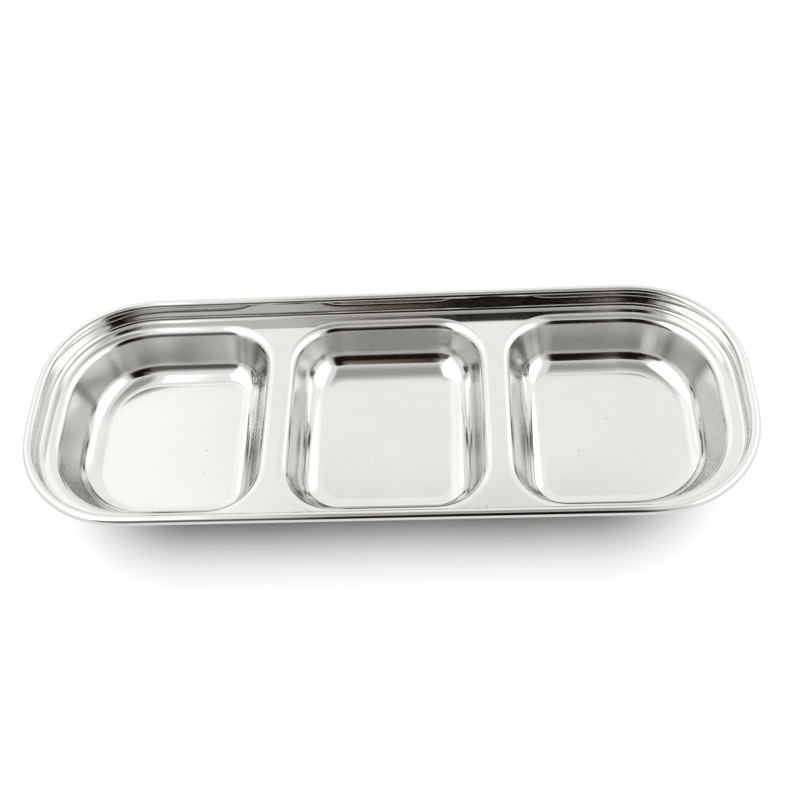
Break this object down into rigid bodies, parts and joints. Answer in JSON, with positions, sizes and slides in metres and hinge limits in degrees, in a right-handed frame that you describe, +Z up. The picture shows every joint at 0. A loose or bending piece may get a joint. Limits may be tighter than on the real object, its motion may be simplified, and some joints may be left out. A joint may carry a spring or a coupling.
{
  "type": "divided sauce dish",
  "caption": "Long pressed steel sauce dish with round ends, a rolled rim, a sunken deck and shallow wells set side by side for dips and condiments.",
  "frame": {"origin": "on the table, under the middle of the dish, at the underside of the middle well's floor", "axes": "+X along the row of wells, +Y across the dish, +Z up out of the wells"},
  "size_m": [0.25, 0.096, 0.0259],
  "materials": {
    "polished_steel": "bright polished stainless steel",
    "satin_steel": "polished stainless steel, faintly satin on the floors of the wells"
  },
  "bodies": {
    "root": {"rolled_rim": "polished_steel", "side_wall": "polished_steel", "divider_deck": "polished_steel", "left_well": "satin_steel", "middle_well": "satin_steel", "right_well": "satin_steel"}
  },
  "joints": []
}
